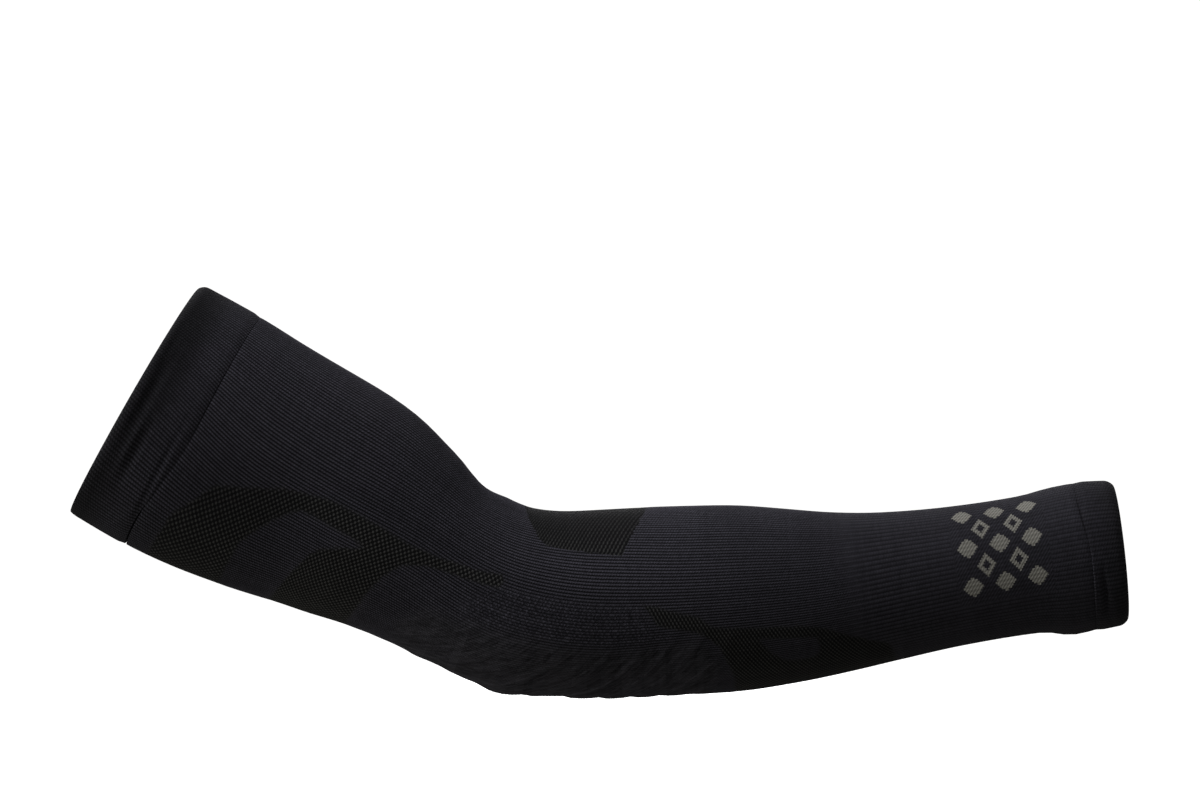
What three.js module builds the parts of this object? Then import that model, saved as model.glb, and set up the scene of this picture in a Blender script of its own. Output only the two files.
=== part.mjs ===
// An arm compression sleeve, in the form that it takes on a slightly bent arm.
// It is a thin knitted tube, wide at the upper arm, bent at the elbow and narrow at the wrist,
// with a turned, doubled band at each end. Millimetres and degrees, +Z up.
// The arm lies in the XZ plane. The origin is the middle of the upper mouth, where the arm goes in,
// and X runs from there to the wrist. Angles round the arm start at its front, on the inner side of
// the elbow, and pass the side towards -Y on the way to the back.
import * as THREE from "three";

// Driving dimensions.
const sleeveLength = 425.5; // along the arm, from the upper edge to the wrist edge
const upperArmFall = 29.8; // how steeply the upper arm falls from the upper mouth
const elbowBend = 36; // from the upper mouth's direction to the wrist's
const upperWidth = 107; // in the plane of the bend, at the upper mouth
const upperDepth = 85; // square to that plane
const elbowWidth = 75;
const elbowDepth = 72;
const forearmWidth = 77;
const forearmDepth = 73;
const wristWidth = 57;
const wristDepth = 53;
const knitWall = 1.1; // one ply of the knit
const bandWall = 2.2; // the band's two plies
const bandRise = 0.45; // how far a band stands proud of the knit next to it
const upperBandSide = 30; // the upper band's length at the side, at the front and at the back
const upperBandFront = 29;
const upperBandBack = 25;
const wristBandSide = 14;
const wristBandFront = 16.2;
const wristBandBack = 14.6;
const seamGap = 0.3; // between a band and the knitted tube
const partingGap = 0.3; // between the four lengths that the knitted tube is made in
const lipReach = 3.8; // the length over which a free edge rounds in
const lipFold = 0.9; // thickness left at the very edge
const lipCurl = 1.3; // how far a free edge curls in
const creaseDepth = 1; // of the deepest crease in a band
const creaseReach = 3.4; // from a crease's bottom to its shoulder
const ridgeHeight = 0.8; // of the slanting ridges on the back of the elbow
const ridgePitch = 12.5; // along the arm
const ridgeSlant = 41; // from the arm's length, at the back
const elbowPoint = 2.2; // how far the point of the elbow stands out
const elbowHollow = 1.8; // how far the inner elbow sinks in
const wristBulge = 1.1; // the loose fullness at the back, next to the wrist band

// Facets.
const facetsAround = 54;
const openRow = 13; // between rings on the plain stretches
const ridgeRows = 4; // rings to a ridge
const lipRings = [0, 0.12, 0.4]; // where a lip's outer rings lie, as shares of its reach
const bandRow = 3.4; // between rings on a band
const innerRow = 24; // between rings on an inner wall
const innerBendRow = 8; // between rings on the inner wall at the elbow
const pathSteps = 400;

// What each section of the arm takes its width and depth from.
const upperArm = { width: upperWidth, depth: upperDepth };
const elbow = { width: elbowWidth, depth: elbowDepth };
const forearm = { width: forearmWidth, depth: forearmDepth };
const wrist = { width: wristWidth, depth: wristDepth };

// Sections from the upper edge to the wrist. along is a share of the sleeve's length, width and
// depth are shares of the named sizes, and turn is the share of the elbow's bend made so far.
const sections = [
  { along: 0.0, of: upperArm, width: 1.0, depth: 1.0, turn: 0.0 },
  { along: 0.043, of: upperArm, width: 1.007, depth: 1.005, turn: 0.015 },
  { along: 0.083, of: upperArm, width: 1.002, depth: 1.0, turn: 0.045 },
  { along: 0.133, of: upperArm, width: 0.969, depth: 0.98, turn: 0.135 },
  { along: 0.183, of: upperArm, width: 0.927, depth: 0.95, turn: 0.155 },
  { along: 0.243, of: upperArm, width: 0.867, depth: 0.925, turn: -0.03 },
  { along: 0.292, of: elbow, width: 1.102, depth: 1.055, turn: -0.07 },
  { along: 0.337, of: elbow, width: 1.008, depth: 1.01, turn: -0.04 },
  { along: 0.382, of: elbow, width: 0.985, depth: 1.0, turn: 0.21 },
  { along: 0.442, of: elbow, width: 1.0, depth: 1.01, turn: 0.655 },
  { along: 0.502, of: forearm, width: 0.998, depth: 0.995, turn: 0.88 },
  { along: 0.582, of: forearm, width: 1.0, depth: 1.0, turn: 0.88 },
  { along: 0.632, of: forearm, width: 0.986, depth: 0.985, turn: 0.89 },
  { along: 0.681, of: forearm, width: 0.925, depth: 0.935, turn: 0.915 },
  { along: 0.731, of: forearm, width: 0.848, depth: 0.86, turn: 0.995 },
  { along: 0.781, of: wrist, width: 1.06, depth: 1.07, turn: 1.06 },
  { along: 0.84, of: wrist, width: 1.0, depth: 1.01, turn: 1.073 },
  { along: 0.91, of: wrist, width: 0.993, depth: 0.99, turn: 1.07 },
  { along: 0.94, of: wrist, width: 1.047, depth: 1.03, turn: 1.055 },
  { along: 0.965, of: wrist, width: 1.062, depth: 1.045, turn: 1.035 },
  { along: 1.0, of: wrist, width: 1.024, depth: 1.02, turn: 1.0 },
];

// Where the arm's form stands out of its sections or sinks below them. reach is a share of the
// sleeve's length to each side, and angle and spread are degrees round the arm.
const forms = [
  { along: 0.418, reach: 0.038, angle: 180, spread: 75, rise: elbowPoint },
  { along: 0.328, reach: 0.04, angle: 0, spread: 80, rise: -elbowHollow },
  { along: 0.943, reach: 0.028, angle: 180, spread: 80, rise: wristBulge },
];

// The slanting ridges lie between these shares of the length, and this far round from the back.
// Away from the back they lean towards the wrist, ever less before and after these shares.
const ridges = { from: 0.345, to: 0.6, round: 70 };
const lean = { from: 0.28, full: 0.42, until: 0.62, to: 0.9 };

// The stretch of the inner wall, in shares of the length, that turns with the elbow.
const bend = { from: 0.26, to: 0.47 };

// Creases in the bands, along the edge. fromEdge is a share of the band's length, angle and spread
// are degrees round the arm, and depth is a share of the deepest crease's.
const upperCreases = [
  { fromEdge: 0.13, angle: 102, spread: 34, depth: 1.0 },
  { fromEdge: 0.46, angle: 112, spread: 30, depth: 0.9 },
  { fromEdge: 0.87, angle: 122, spread: 34, depth: 0.7 },
  { fromEdge: 0.3, angle: 250, spread: 40, depth: 0.8 },
];
const wristCreases = [
  { fromEdge: 0.62, angle: 128, spread: 45, depth: 0.6 },
  { fromEdge: 0.55, angle: 238, spread: 40, depth: 0.5 },
];

// A seam has its full front or back length this share of the way out to the front or the back.
const seamSettled = 0.85;

// The share of a lip's rounding that its outside takes. The inside takes the rest.
const lipOutside = 0.75;

const { clamp, degToRad, lerp, smoothstep } = THREE.MathUtils;

// A smooth curve through one column of a table, at a share of the length: a cubic between each two
// rows, whose slope at a row is that of the line between its neighbours.
function columnAt(rows, value, along) {
  const last = rows.length - 1;
  const slope = (i) => {
    const [before, after] = [rows[Math.max(i - 1, 0)], rows[Math.min(i + 1, last)]];
    return (value(after) - value(before)) / (after.along - before.along);
  };
  let i = 0;
  while (i < last - 1 && along > rows[i + 1].along) i += 1;
  const step = rows[i + 1].along - rows[i].along;
  const t = (along - rows[i].along) / step;
  const curving = step * (slope(i) * t * (1 - t) ** 2 - slope(i + 1) * t * t * (1 - t));
  return lerp(value(rows[i]), value(rows[i + 1]), t * t * (3 - 2 * t)) + curving;
}

// A bell from 1 in the middle to 0 at one reach to each side.
function bell(offset, reach) {
  return (1 + Math.cos(Math.PI * Math.min(Math.abs(offset) / reach, 1))) / 2;
}

// The smaller way round from one angle to another, both from 0 to 360.
function turnBetween(one, other) {
  return 180 - Math.abs(180 - Math.abs(one - other));
}

// The arm's direction at a distance from the upper edge, in radians below level.
function fallAt(distance) {
  return degToRad(upperArmFall - elbowBend * columnAt(sections, (row) => row.turn, distance / sleeveLength));
}

// The middle line of the arm, in even steps.
const middle = [new THREE.Vector3(0, 0, 0)];
for (let i = 0; i < pathSteps; i += 1) {
  const fall = fallAt(((i + 0.5) / pathSteps) * sleeveLength);
  const forward = new THREE.Vector3(Math.cos(fall), 0, -Math.sin(fall));
  middle.push(middle[i].clone().addScaledVector(forward, sleeveLength / pathSteps));
}

// The point of the middle line at a distance from the upper edge.
function middleAt(distance) {
  const place = clamp((distance / sleeveLength) * pathSteps, 0, pathSteps);
  const i = Math.min(Math.floor(place), pathSteps - 1);
  return middle[i].clone().lerp(middle[i + 1], place - i);
}

// How far the arm's form stands out of its section.
function formAt(distance, angle) {
  return forms.reduce((sum, form) => {
    const lengthwise = bell(distance / sleeveLength - form.along, form.reach);
    return sum + form.rise * lengthwise * bell(turnBetween(angle, form.angle), form.spread);
  }, 0);
}

// The point of the sleeve at a distance along the arm and an angle round it, more millimetres
// outside the arm's own form.
function pointAt(distance, angle, more) {
  const along = distance / sleeveLength;
  const halfWidth = columnAt(sections, (row) => row.width * row.of.width, along) / 2;
  const halfDepth = columnAt(sections, (row) => row.depth * row.of.depth, along) / 2;
  const out = formAt(distance, angle) + more;
  const fall = fallAt(distance);
  const front = new THREE.Vector3(Math.sin(fall), 0, Math.cos(fall));
  const side = new THREE.Vector3(0, -1, 0);
  return middleAt(distance)
    .addScaledVector(front, (halfWidth + out) * Math.cos(degToRad(angle)))
    .addScaledVector(side, (halfDepth + out) * Math.sin(degToRad(angle)));
}

// One ring of points round the arm, from a distance and a thickness that may change with the angle.
function ring(distanceAt, moreAt) {
  return Array.from({ length: facetsAround }, (_, i) => {
    const angle = (360 * i) / facetsAround;
    return pointAt(distanceAt(angle), angle, moreAt(angle));
  });
}

// Distances from one place to another, evenly, at most a step apart. Both ends are in.
function places(from, to, step) {
  const count = Math.max(Math.ceil((to - from) / step), 1);
  return Array.from({ length: count + 1 }, (_, i) => lerp(from, to, i / count));
}

// A closed tube wall from its outer rings and its inner rings, both from the upper end to the wrist.
function tubeWall(outerRings, innerRings) {
  const rings = [...outerRings, ...innerRings.slice().reverse()];
  const faces = [];
  rings.forEach((_, row) => {
    const here = row * facetsAround;
    const next = ((row + 1) % rings.length) * facetsAround;
    for (let i = 0; i < facetsAround; i += 1) {
      const j = (i + 1) % facetsAround;
      faces.push(here + i, next + j, next + i, here + i, here + j, next + j);
    }
  });
  const corners = rings.flat().flatMap((point) => point.toArray());
  const geometry = new THREE.BufferGeometry();
  geometry.setAttribute("position", new THREE.Float32BufferAttribute(corners, 3));
  geometry.setIndex(faces);
  geometry.computeVertexNormals();
  return geometry;
}

// A band's length at an angle, from its lengths at the side, the front and the back.
function bandLength(side, front, back, angle) {
  const forward = Math.cos(degToRad(angle));
  const toFront = (front - side) * smoothstep(forward, 0, seamSettled);
  return side + toFront + (back - side) * smoothstep(-forward, 0, seamSettled);
}
const upperBandAt = (angle) => bandLength(upperBandSide, upperBandFront, upperBandBack, angle);
const wristBandAt = (angle) => bandLength(wristBandSide, wristBandFront, wristBandBack, angle);

// How far the elbow's ridges lift the knit, on the ring of a distance.
function ridgeRelief(distance, angle) {
  const along = distance / sleeveLength;
  const lengthwise = bell(along - (ridges.from + ridges.to) / 2, (ridges.to - ridges.from) / 2);
  const crest = Math.max(Math.cos((2 * Math.PI * distance) / ridgePitch), 0);
  return ridgeHeight * Math.sqrt(lengthwise * bell(turnBetween(angle, 180), ridges.round)) * crest;
}

// Where the tube's ring of a distance passes at an angle. Next to a band it follows the seam, and
// on the elbow it leans with the ridges.
function tubePlace(distance, angle) {
  const along = distance / sleeveLength;
  const seamShift =
    (upperBandAt(angle) - upperBandSide) * smoothstep(ridges.from - along, 0, ridges.from) -
    (wristBandAt(angle) - wristBandSide) * smoothstep(along, ridges.to, 1);
  const leaning = smoothstep(along, lean.from, lean.full) * (1 - smoothstep(along, lean.until, lean.to));
  const leanReach = elbowWidth / 2 / Math.tan(degToRad(ridgeSlant));
  return distance + seamShift + leanReach * leaning * Math.abs(Math.sin(degToRad(angle)));
}

// Where the knitted tube begins, is parted halfway down the upper arm and at its first and its last
// ridge, and ends.
const tubeStart = upperBandSide + seamGap / 2;
const firstRidge = Math.ceil((ridges.from * sleeveLength) / ridgePitch) * ridgePitch;
const lastRidge = Math.floor((ridges.to * sleeveLength) / ridgePitch) * ridgePitch;
const upperParting = (tubeStart + firstRidge) / 2;
const tubeEnd = sleeveLength - wristBandSide - seamGap / 2;

// One length of the knitted tube. Its inner rings lie closer together where the elbow bends.
function tubeLength(from, to, outerRow) {
  const stops = [from, bend.from * sleeveLength, bend.to * sleeveLength, to].map((stop) => clamp(stop, from, to));
  const inside = [innerRow, innerBendRow, innerRow].flatMap((row, i) =>
    stops[i + 1] > stops[i] ? places(stops[i], stops[i + 1], row).slice(1) : [],
  );
  const rings = (distances, moreAt) =>
    distances.map((distance) =>
      ring(
        (angle) => tubePlace(distance, angle),
        (angle) => moreAt(distance, angle),
      ),
    );
  return tubeWall(
    rings(places(from, to, outerRow), ridgeRelief),
    rings([from, ...inside], () => -knitWall),
  );
}

// A doubled band from its free edge to its seam. placeAt gives the distance along the arm at a share
// of the band's length. The free edge rounds in and curls, as a fold does.
function band(lengthAt, placeAt, creases) {
  const sunk = (share, angle) =>
    creases.reduce((sum, crease) => {
      const lengthwise = bell((share - crease.fromEdge) * lengthAt(angle), creaseReach);
      const round = bell(turnBetween(angle, crease.angle), crease.spread);
      return sum + crease.depth * creaseDepth * lengthwise * round;
    }, 0);
  const rings = (shares, moreAt) =>
    shares.map((share) =>
      ring(
        (angle) => placeAt(share, angle),
        (angle) => moreAt(share, Math.max(1 - (share * lengthAt(angle)) / lipReach, 0), angle),
      ),
    );
  const rounding = (lip) => (bandWall - lipFold) * (1 - Math.sqrt(1 - lip ** 2));
  const proud = (lip) => bandRise - lipCurl * lip ** 2;
  const outer = (share, lip, angle) => proud(lip) - lipOutside * rounding(lip) - sunk(share, angle);
  const inner = (share, lip) => proud(lip) - bandWall + (1 - lipOutside) * rounding(lip);
  const lipShare = lipReach / lengthAt(90);
  const rowShare = bandRow / lengthAt(90);
  const outerShares = [...lipRings.map((ringAt) => ringAt * lipShare), ...places(lipShare, 1, rowShare)];
  const innerShares = [0, ...places(lipShare, 1, innerRow / lengthAt(90))];
  return [rings(outerShares, outer), rings(innerShares, inner)];
}

function upperBand() {
  const lengthAt = (angle) => upperBandAt(angle) - seamGap / 2;
  return tubeWall(...band(lengthAt, (share, angle) => share * lengthAt(angle), upperCreases));
}

function wristBand() {
  const lengthAt = (angle) => wristBandAt(angle) - seamGap / 2;
  const placeAt = (share, angle) => sleeveLength - share * lengthAt(angle);
  return tubeWall(...band(lengthAt, placeAt, wristCreases).map((rings) => rings.reverse()));
}

const knit = new THREE.MeshStandardMaterial({ color: 0x17181d, roughness: 0.9, metalness: 0 });
const welt = new THREE.MeshStandardMaterial({ color: 0x15161b, roughness: 0.92, metalness: 0 });

function piece(name, geometry, material) {
  const mesh = new THREE.Mesh(geometry, material);
  mesh.name = name;
  return mesh;
}

const toParting = partingGap / 2;
const sleeve = new THREE.Group();
sleeve.name = "arm_compression_sleeve";
sleeve.add(
  piece("upper_arm_knit", tubeLength(tubeStart, upperParting - toParting, openRow), knit),
  piece("above_elbow_knit", tubeLength(upperParting + toParting, firstRidge - toParting, openRow), knit),
  piece("elbow_knit", tubeLength(firstRidge + toParting, lastRidge - toParting, ridgePitch / ridgeRows), knit),
  piece("forearm_knit", tubeLength(lastRidge + toParting, tubeEnd, openRow), knit),
  piece("upper_band", upperBand(), welt),
  piece("wrist_band", wristBand(), welt),
);

export default sleeve;
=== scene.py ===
import math

import bpy
import mathutils
import numpy as np
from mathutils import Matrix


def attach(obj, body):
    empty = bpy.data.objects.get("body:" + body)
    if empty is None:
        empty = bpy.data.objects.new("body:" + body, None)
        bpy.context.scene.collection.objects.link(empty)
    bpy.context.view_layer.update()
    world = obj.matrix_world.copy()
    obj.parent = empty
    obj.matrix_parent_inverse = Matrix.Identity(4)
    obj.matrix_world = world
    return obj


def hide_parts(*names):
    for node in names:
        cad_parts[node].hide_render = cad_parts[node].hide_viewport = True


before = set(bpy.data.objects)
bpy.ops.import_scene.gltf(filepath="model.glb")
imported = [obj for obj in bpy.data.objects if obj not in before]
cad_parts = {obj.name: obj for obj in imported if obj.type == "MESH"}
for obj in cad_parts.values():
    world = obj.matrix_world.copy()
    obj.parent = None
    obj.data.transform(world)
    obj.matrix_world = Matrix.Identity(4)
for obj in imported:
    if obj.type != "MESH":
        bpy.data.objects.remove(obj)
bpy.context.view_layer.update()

# An arm compression sleeve of fine ribbed knit, worn on a slightly bent arm.
# Metres. X runs from the upper mouth to the wrist, Z is up, and -Y is the side that the camera sees.
# Angles round the arm start at its front, on the inner side of the elbow.

print("arm form")

armForm = {
    "length": 0.4255,  # along the arm
    "upperArmFall": 29.8,  # degrees below level at the upper mouth
    "elbowBend": 36.0,  # degrees
    "upperArm": (0.107, 0.085),  # width in the plane of the bend, depth square to it
    "elbow": (0.075, 0.072),
    "forearm": (0.077, 0.073),
    "wrist": (0.057, 0.053),
    "elbowPoint": 0.0022,
    "elbowHollow": 0.0018,
    "wristBulge": 0.0011,
    "pathSteps": 2000,
}

# Share of the length, whose size it takes, width and depth as shares of that size, share of the bend.
sections = [
    (0.0, "upperArm", 1.0, 1.0, 0.0),
    (0.043, "upperArm", 1.007, 1.005, 0.015),
    (0.083, "upperArm", 1.002, 1.0, 0.045),
    (0.133, "upperArm", 0.969, 0.98, 0.135),
    (0.183, "upperArm", 0.927, 0.95, 0.155),
    (0.243, "upperArm", 0.867, 0.925, -0.03),
    (0.292, "elbow", 1.102, 1.055, -0.07),
    (0.337, "elbow", 1.008, 1.01, -0.04),
    (0.382, "elbow", 0.985, 1.0, 0.21),
    (0.442, "elbow", 1.0, 1.01, 0.655),
    (0.502, "forearm", 0.998, 0.995, 0.88),
    (0.582, "forearm", 1.0, 1.0, 0.88),
    (0.632, "forearm", 0.986, 0.985, 0.89),
    (0.681, "forearm", 0.925, 0.935, 0.915),
    (0.731, "forearm", 0.848, 0.86, 0.995),
    (0.781, "wrist", 1.06, 1.07, 1.06),
    (0.84, "wrist", 1.0, 1.01, 1.073),
    (0.91, "wrist", 0.993, 0.99, 1.07),
    (0.94, "wrist", 1.047, 1.03, 1.055),
    (0.965, "wrist", 1.062, 1.045, 1.035),
    (1.0, "wrist", 1.024, 1.02, 1.0),
]

# Share of the length, share that it reaches to each side, degrees round the arm, degrees of spread,
# which size it rises by, and its sign.
swells = [
    (0.418, 0.038, 180, 75, "elbowPoint", 1),
    (0.328, 0.04, 0, 80, "elbowHollow", -1),
    (0.943, 0.028, 180, 80, "wristBulge", 1),
]

sectionAt = np.array([row[0] for row in sections])
sectionWidth = np.array([row[2] * armForm[row[1]][0] for row in sections])
sectionDepth = np.array([row[3] * armForm[row[1]][1] for row in sections])
sectionTurn = np.array([row[4] for row in sections])


# A smooth curve through a table's column: a cubic between each two rows, whose slope at a row is
# that of the line between its neighbours. at holds the rows' own shares of the length.
def smoothColumn(values, share, at=sectionAt):
    last = len(at) - 1
    before = np.maximum(np.arange(last + 1) - 1, 0)
    after = np.minimum(np.arange(last + 1) + 1, last)
    slope = (values[after] - values[before]) / (at[after] - at[before])
    i = np.clip(np.searchsorted(at, share, side="right") - 1, 0, last - 1)
    step = at[i + 1] - at[i]
    t = (share - at[i]) / step
    ease = t * t * (3 - 2 * t)
    curving = step * (slope[i] * t * (1 - t) ** 2 - slope[i + 1] * t * t * (1 - t))
    return values[i] * (1 - ease) + values[i + 1] * ease + curving


# A bell, 1 in the middle and 0 at one reach to each side.
def bell(offset, reach):
    return (1 + np.cos(np.pi * np.minimum(np.abs(offset) / reach, 1))) / 2


# An even ramp that starts and ends level, 0 at low and 1 at high.
def ramp(value, low, high):
    t = np.clip((value - low) / (high - low), 0, 1)
    return t * t * (3 - 2 * t)


# The smaller way round between two angles in degrees.
def turnBetween(one, other):
    return 180 - np.abs(180 - np.abs(one % 360 - other % 360))


# A bell round the arm at so many degrees from its front, the same on both sides.
def bellAside(degrees, fromFront, spread):
    return bell(turnBetween(degrees, 0) - fromFront, spread)


# The direction of the arm, radians below level.
def fallAt(share):
    return np.radians(armForm["upperArmFall"] - armForm["elbowBend"] * smoothColumn(sectionTurn, share))


pathShare = (np.arange(armForm["pathSteps"]) + 0.5) / armForm["pathSteps"]
pathStep = armForm["length"] / armForm["pathSteps"]
pathX = np.concatenate([[0], np.cumsum(np.cos(fallAt(pathShare)) * pathStep)])
pathZ = np.concatenate([[0], np.cumsum(-np.sin(fallAt(pathShare)) * pathStep)])
pathPlaces = np.linspace(0, armForm["length"], armForm["pathSteps"] + 1)


# The arm's surface: the middle line is the sum of small steps along the direction, and round each of
# its points goes an ellipse in the plane square to it. distance and degrees are whole arrays, and
# more is how far outside the arm's form each point lies.
def armSurface(distance, degrees, more):
    share = distance / armForm["length"]
    form = sum(
        sign * armForm[size] * bell(share - along, reach) * bell(turnBetween(degrees, round0), spread)
        for along, reach, round0, spread, size, sign in swells
    )
    halfWidth = smoothColumn(sectionWidth, share) / 2 + form + more
    halfDepth = smoothColumn(sectionDepth, share) / 2 + form + more
    fall = fallAt(share)
    x = np.interp(distance, pathPlaces, pathX)
    z = np.interp(distance, pathPlaces, pathZ)
    front = halfWidth * np.cos(np.radians(degrees))
    side = halfDepth * np.sin(np.radians(degrees))
    return np.stack([x + np.sin(fall) * front, -side, z + np.cos(fall) * front], -1)


print("seams and ribs")

seams = {
    "upperSide": 0.030,  # the upper band's length at the side, the front and the back
    "upperFront": 0.029,
    "upperBack": 0.025,
    "wristSide": 0.014,
    "wristFront": 0.0162,
    "wristBack": 0.0146,
    "settled": 0.85,
    "gap": 0.0001,
    "grooveReach": 0.0015,  # how far from a seam the knit starts to sink into it
    "grooveDepth": 0.00028,
    "grooveEnds": 0.1,  # of that depth, what is left at the front and the back
    "tuckDepth": 0.00125,  # the band's inner ply goes on under the tube's end
    "tuckLength": 0.0009,
    "upperSeamShade": (108, 64),  # where the painted shade along the seam's groove shows, degrees from the front and spread
    "wristSeamShade": (56, 44),
    "seamShadeFade": 0.0006,
}

ribs = {
    "count": 200,
    "samples": 4,  # points across one rib
    "height": 0.00028,  # from groove to crest
    "pairing": (0.71, 0.765),  # between these shares of the length two ribs come to run as one
    "pairHeight": 0.00030,
    "pairShape": (0.6, 0.25),  # how broad a pair's crest is, and how deep the groove between its ribs
    "meshHeight": 0.25,  # of a rib's height, what is left in the mesh
    "meshEdge": 0.001,  # how softly it changes there, to each side
    "closing": (0.47, 0.92),  # between these the ribs close up and their grooves grow shallow
    "closedDepth": 0.40,
}

# Where the ribs run: share of the length, how far they are drawn to the back, and how far they are
# drawn from the front and the back to the sides, both in radians.
ribPaths = [
    (0.0, -0.27, 0.10),
    (0.07, -0.11, 0.10),
    (0.14, 0.04, 0.08),
    (0.22, 0.12, 0.08),
    (0.32, 0.10, 0.0),
    (0.42, 0.20, -0.06),
    (0.50, 0.27, -0.04),
    (0.58, 0.25, 0.03),
    (0.70, 0.19, 0.04),
    (0.80, 0.11, 0.0),
    (1.0, 0.0, 0.0),
]
ribPathAt, drawnBack, drawnAside = (np.array(column) for column in zip(*ribPaths))


# The length of a band round the arm, from its lengths at the side, the front and the back.
def bandLength(name, degrees):
    forward = np.cos(np.radians(degrees))
    side, front, back = (seams[name + place] for place in ("Side", "Front", "Back"))
    return (
        side
        + (front - side) * ramp(forward, 0, seams["settled"])
        + (back - side) * ramp(-forward, 0, seams["settled"])
    )


# Where a rib runs: its even place round the arm, plus the draw to the back times the place's sine and
# the draw to the sides times the sine of twice the place.
def ribDegrees(ribTurn, share):
    start = 2 * np.pi * ribTurn
    back = smoothColumn(drawnBack, share, ribPathAt)
    aside = smoothColumn(drawnAside, share, ribPathAt)
    return np.degrees(start + back * np.sin(start) + aside * np.sin(2 * start))


# How deep the ribs' grooves are, as a share of the deepest: even, then a ramp down past the elbow.
def ribDepth(share):
    return 1 - (1 - ribs["closedDepth"]) * ramp(share, *ribs["closing"])


# A rib's height: a cosine across it, which down the forearm becomes a cosine over two ribs.
def ribHeight(ribTurn, share):
    paired = ramp(share, *ribs["pairing"])
    single = ribs["height"] / 2 * np.cos(2 * np.pi * ribs["count"] * ribTurn)
    double = ribs["pairHeight"] / 2 * np.cos(np.pi * ribs["count"] * ribTurn)
    return (single * (1 - paired) + double * paired) * ribDepth(share)


# How far the knit sinks at a seam: a bell of the distance from it, shallower at the front and the back
# by the sine of the angle.
def seamGroove(fromSeam, degrees):
    depth = seams["grooveEnds"] + (1 - seams["grooveEnds"]) * np.abs(np.sin(np.radians(degrees)))
    return seams["grooveDepth"] * depth * bell(fromSeam, seams["grooveReach"])


# How far a point is from the painted shade along a seam's groove: its distance from the seam, and more
# where that shade fades out round the arm by a bell.
def fromSeamShade(name, fromSeam, degrees):
    return np.abs(fromSeam) + seams["seamShadeFade"] * (1 - bellAside(degrees, *seams[name + "SeamShade"]))


# The wrist seam's stitches stand proud on the lower side as a narrow, dotted bead with a painted highlight.
seamBead = {
    "place": 0.0004,  # from the seam
    "reach": 0.0007,
    "round": (112, 48),  # degrees from the front and spread
    "height": 0.00045,
    # the bead's painted highlight
    "light": 0.8,
    "dots": 1.5,  # to a rib
}

print("knit zones")

# Corners of the knit's zones. The first number is the share of the length, the second how far the
# corner lies towards the front, from 1 at the front through 0 at the side to -1 at the back.
upperMesh = [
    (0.078, -1.08), (0.085, -0.61), (0.109, -0.25), (0.172, -0.045), (0.215, 0.022), (0.31, 0.06),
    (0.404, 0.27), (0.398, 0.06), (0.33, -0.06), (0.307, -0.195), (0.297, -0.38), (0.292, -0.61),
    (0.289, -1.08),
]
upperIsland = [
    (0.147, -1.08), (0.153, -0.61), (0.172, -0.37), (0.192, -0.2), (0.262, -0.22), (0.222, -0.425),
    (0.212, -0.655), (0.196, -1.08),
]
forearmMesh = [
    (0.534, 0.02), (0.59, -0.14), (0.602, -0.25), (0.70, -0.32), (0.768, -0.72), (0.775, -1.08),
    (0.622, -1.08), (0.62, -0.8), (0.607, -0.5), (0.592, -0.36), (0.548, -0.25),
]
forearmIsland = [(0.648, -0.44), (0.70, -0.50), (0.70, -0.69), (0.674, -0.70), (0.658, -0.58)]
innerPatch = [(0.385, 1.08), (0.548, 1.08), (0.518, 0.51), (0.433, 0.645)]
elbowFine = [
    (0.375, 0.0), (0.40, 0.14), (0.45, 0.14), (0.535, 0.02), (0.55, -0.25), (0.59, -0.38), (0.52, -0.50),
    (0.468, -0.45), (0.417, -0.40), (0.375, -0.46), (0.36, -0.28),
]
elbowBack = [
    (0.345, -0.45), (0.417, -0.38), (0.52, -0.5), (0.59, -0.4), (0.61, -0.7), (0.6, -1.08), (0.33, -1.08),
    (0.33, -0.7),
]


# How far inside a zone each point is, in metres, negative outside: the distance to the nearest edge,
# with the sign that the count of edges to one side of the point gives.
def insideZone(corners, share, forward):
    scale = np.array([armForm["length"], armForm["elbow"][0] / 2])
    points = np.stack([share * scale[0], forward * scale[1]], -1)
    ends = np.array(corners) * scale
    nearest = np.full(share.shape, 1.0)
    inside = np.zeros(share.shape, bool)
    for one, other in zip(ends, np.roll(ends, -1, 0)):
        edge = other - one
        along = np.clip(((points - one) @ edge) / (edge @ edge), 0, 1)
        nearest = np.minimum(nearest, np.linalg.norm(points - one - along[..., None] * edge, axis=-1))
        level = (one[1] > points[..., 1]) != (other[1] > points[..., 1])
        rise = np.where(edge[1] == 0, 1, edge[1])
        inside ^= level & (points[..., 0] < one[0] + (points[..., 1] - one[1]) * edge[0] / rise)
    return np.where(inside, nearest, -nearest)


# The knit's zones at each point, as distances inside them.
def knitZones(share, degrees):
    def inside(corners):
        return insideZone(corners, share, np.cos(np.radians(degrees)))

    upper = np.minimum(inside(upperMesh), -inside(upperIsland))
    fore = np.minimum(inside(forearmMesh), -inside(forearmIsland))
    return {
        "meshZone": np.maximum(upper, fore),
        "patchZone": inside(innerPatch),
        "fineZone": inside(elbowFine),
        "backZone": inside(elbowBack),
    }


elbowRidges = {
    "height": 0.0008,
    "pitch": 0.0125,
    "slant": 41,  # degrees from the arm's length
    "sharpness": 1.5,
    "start": 0.31,
    "end": 0.60,
    "round": 85,  # degrees from the back
    "leanRise": (0.28, 0.42),
    "leanFade": (0.62, 0.90),
}


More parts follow.
